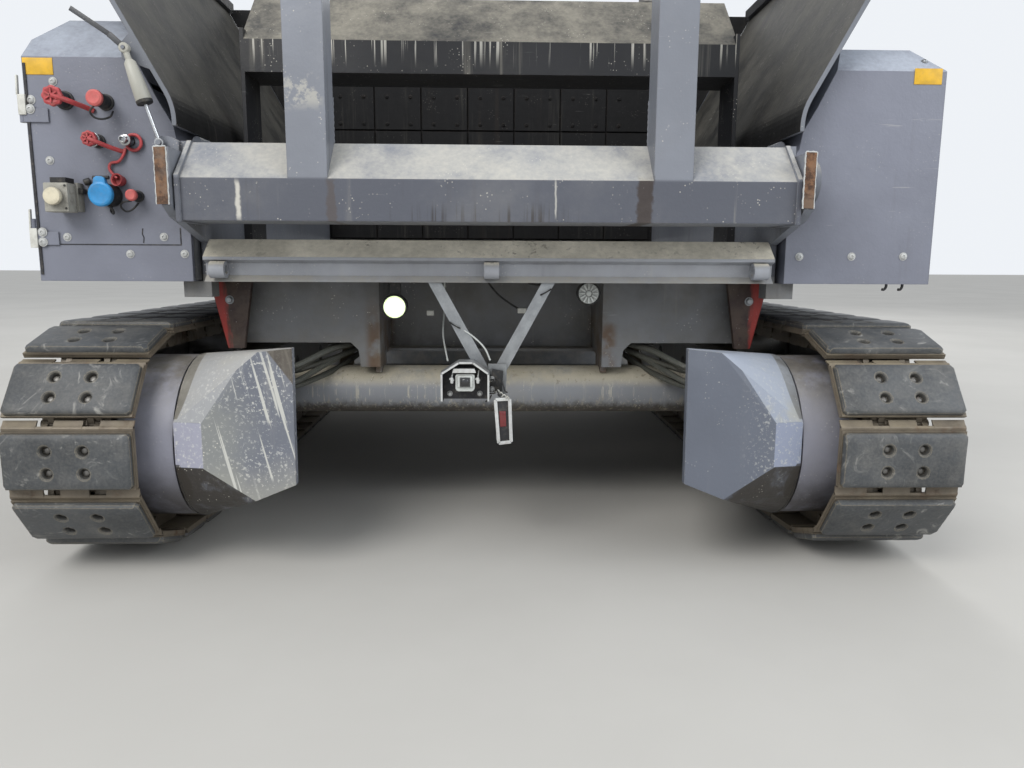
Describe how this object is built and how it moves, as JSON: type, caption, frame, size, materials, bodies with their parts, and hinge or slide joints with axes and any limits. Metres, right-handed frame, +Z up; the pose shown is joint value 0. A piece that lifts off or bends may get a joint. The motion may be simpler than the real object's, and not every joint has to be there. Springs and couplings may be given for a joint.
{
  "type": "tracked asphalt paver",
  "caption": "Tracked road paver with a front receiving hopper, folding gate and wings, side cabinets, hood, operator's platform with canopy, augers and towed screed.",
  "frame": {"origin": "middle of the footprint on the ground, X across, Y along, Z up", "axes": "+X to the right seen from the front, +Y from the hopper towards the screed, +Z up"},
  "size_m": [2.748, 5.08, 3.25],
  "materials": {
    "grey_paint": "satin",
    "dark_steel": "matte",
    "rubber": "matte",
    "worn_steel": "satin",
    "zinc": "satin",
    "red_paint": "satin",
    "seat_vinyl": "matte"
  },
  "bodies": {
    "machine": {"track_left": "rubber", "track_right": "rubber", "track_frame_left": "grey_paint", "track_frame_right": "grey_paint", "sprocket_left": "worn_steel", "sprocket_right": "worn_steel", "motor_guard_left": "grey_paint", "motor_guard_right": "grey_paint", "axle_tubes": "grey_paint", "chassis": "grey_paint", "tie_brackets": "red_paint", "front_sill": "grey_paint", "hopper_base": "grey_paint", "hopper_bridge": "grey_paint", "hopper_back": "dark_steel", "conveyor": "worn_steel", "gate_pins": "zinc", "cabinet_left": "grey_paint", "tank_right": "grey_paint", "couplings": "red_paint", "socket_boxes": "zinc", "work_lamps": "zinc", "camera_bracket": "zinc", "drive_hoses": "rubber", "engine": "dark_steel", "hood": "grey_paint", "exhaust": "worn_steel", "platform": "grey_paint", "railing_posts": "red_paint", "railings": "red_paint", "seats": "seat_vinyl", "console": "dark_steel", "canopy": "grey_paint", "tow_brackets": "grey_paint", "auger_hanger": "grey_paint"},
    "gate": {"gate_frame": "grey_paint"},
    "wing_l": {"wing_left": "grey_paint"},
    "wing_r": {"wing_right": "grey_paint"},
    "wing_barrel_l": {"wing_barrel_left": "dark_steel"},
    "wing_rod_l": {"wing_rod_left": "zinc"},
    "wing_barrel_r": {"wing_barrel_right": "dark_steel"},
    "wing_rod_r": {"wing_rod_right": "zinc"},
    "strut_foot": {"strut_rod": "zinc"},
    "strut_top": {"strut_sleeve": "worn_steel"},
    "cabinet_door": {"cabinet_door": "grey_paint"},
    "hood_door_l": {"hood_door_left": "grey_paint"},
    "hood_door_r": {"hood_door_right": "grey_paint"},
    "screed": {"screed": "grey_paint"},
    "screed_ext_l": {"screed_ext_left": "grey_paint"},
    "screed_ext_r": {"screed_ext_right": "grey_paint"},
    "auger_l": {"auger_left": "worn_steel"},
    "auger_r": {"auger_right": "worn_steel"},
    "lift_barrel_l": {"lift_barrel_left": "dark_steel"},
    "lift_barrel_r": {"lift_barrel_right": "dark_steel"},
    "lift_rod_l": {"lift_rod_left": "zinc"},
    "lift_rod_r": {"lift_rod_right": "zinc"}
  },
  "joints": [
    {"name": "gate_fold", "type": "hinge", "parent": "machine", "child": "gate", "pos_m": [0, -2.35, 1.091], "axis": [1, 0, 0], "range_deg": [0, 90]},
    {"name": "wing_left_fold", "type": "hinge", "parent": "machine", "child": "wing_l", "pos_m": [-0.842, -1.46, 1.21], "axis": [0, 1, 0], "range_deg": [0, 27]},
    {"name": "wing_cylinder_left_tilt", "type": "hinge", "parent": "machine", "child": "wing_barrel_l", "pos_m": [-0.905, -0.615, 0.9], "axis": [0, 1, 0], "range_deg": [-1, 17.2]},
    {"name": "wing_cylinder_left_stroke", "type": "slide", "parent": "wing_barrel_l", "child": "wing_rod_l", "axis": [-0.3021, 0, 0.9533], "range_m": [0, 0.06]},
    {"name": "wing_right_fold", "type": "hinge", "parent": "machine", "child": "wing_r", "pos_m": [0.842, -1.46, 1.21], "axis": [0, -1, 0], "range_deg": [0, 27]},
    {"name": "wing_cylinder_right_tilt", "type": "hinge", "parent": "machine", "child": "wing_barrel_r", "pos_m": [0.905, -0.615, 0.9], "axis": [0, -1, 0], "range_deg": [-1, 17.2]},
    {"name": "wing_cylinder_right_stroke", "type": "slide", "parent": "wing_barrel_r", "child": "wing_rod_r", "axis": [0.3021, 0, 0.9533], "range_m": [0, 0.06]},
    {"name": "strut_tilt", "type": "hinge", "parent": "machine", "child": "strut_foot", "pos_m": [-0.879, -2.364, 1.18], "axis": [0, 1, 0], "range_deg": [-1, 25.4]},
    {"name": "strut_slide", "type": "slide", "parent": "strut_foot", "child": "strut_top", "axis": [-0.3017, 0, 0.9534], "range_m": [0, 0.03]},
    {"name": "cabinet_door_swing", "type": "hinge", "parent": "machine", "child": "cabinet_door", "pos_m": [-1.285, -2.266, 1.16], "axis": [0, 0, 1], "range_deg": [0, 110]},
    {"name": "hood_door_left_swing", "type": "hinge", "parent": "machine", "child": "hood_door_l", "pos_m": [-1.285, 0.436, 1.3], "axis": [0, 0, -1], "range_deg": [0, 100]},
    {"name": "hood_door_right_swing", "type": "hinge", "parent": "machine", "child": "hood_door_r", "pos_m": [1.285, 0.436, 1.3], "axis": [0, 0, 1], "range_deg": [0, 100]},
    {"name": "screed_lift", "type": "hinge", "parent": "machine", "child": "screed", "pos_m": [0, -0.625, 0.48], "axis": [1, 0, 0], "range_deg": [0, 6]},
    {"name": "lift_cylinder_left_tilt", "type": "hinge", "parent": "machine", "child": "lift_barrel_l", "pos_m": [-1.33, 1.46, 1.25], "axis": [1, 0, 0], "range_deg": [-2, 2]},
    {"name": "lift_cylinder_left_stroke", "type": "slide", "parent": "lift_barrel_l", "child": "lift_rod_l", "axis": [0, 0.0779, -0.997], "range_m": [-0.23, 0]},
    {"name": "screed_left_extend", "type": "slide", "parent": "screed", "child": "screed_ext_l", "axis": [-1, 0, 0], "range_m": [0, 1]},
    {"name": "auger_left_spin", "type": "hinge", "parent": "machine", "child": "auger_l", "pos_m": [-0.6, 1.42, 0.43], "axis": [1, 0, 0], "continuous": true},
    {"name": "lift_cylinder_right_tilt", "type": "hinge", "parent": "machine", "child": "lift_barrel_r", "pos_m": [1.33, 1.46, 1.25], "axis": [1, 0, 0], "range_deg": [-2, 2]},
    {"name": "lift_cylinder_right_stroke", "type": "slide", "parent": "lift_barrel_r", "child": "lift_rod_r", "axis": [0, 0.0779, -0.997], "range_m": [-0.23, 0]},
    {"name": "screed_right_extend", "type": "slide", "parent": "screed", "child": "screed_ext_r", "axis": [1, 0, 0], "range_m": [0, 1]},
    {"name": "auger_right_spin", "type": "hinge", "parent": "machine", "child": "auger_r", "pos_m": [0.6, 1.42, 0.43], "axis": [1, 0, 0], "continuous": true}
  ],
  "couplings": [
    {"joint": "wing_cylinder_left_tilt", "follows": "wing_left_fold", "ratio": 0.60091},
    {"joint": "wing_cylinder_left_stroke", "follows": "wing_left_fold", "m_per_rad": 0.12191},
    {"joint": "wing_cylinder_right_tilt", "follows": "wing_right_fold", "ratio": 0.60091},
    {"joint": "wing_cylinder_right_stroke", "follows": "wing_right_fold", "m_per_rad": 0.12191},
    {"joint": "strut_tilt", "follows": "wing_left_fold", "ratio": 0.9049},
    {"joint": "strut_slide", "follows": "wing_left_fold", "m_per_rad": 0.04056},
    {"joint": "lift_cylinder_left_tilt", "follows": "screed_lift", "ratio": -0.11362},
    {"joint": "lift_cylinder_left_stroke", "follows": "screed_lift", "m_per_rad": -2.1373},
    {"joint": "lift_cylinder_right_tilt", "follows": "screed_lift", "ratio": -0.11362},
    {"joint": "lift_cylinder_right_stroke", "follows": "screed_lift", "m_per_rad": -2.1373}
  ]
}
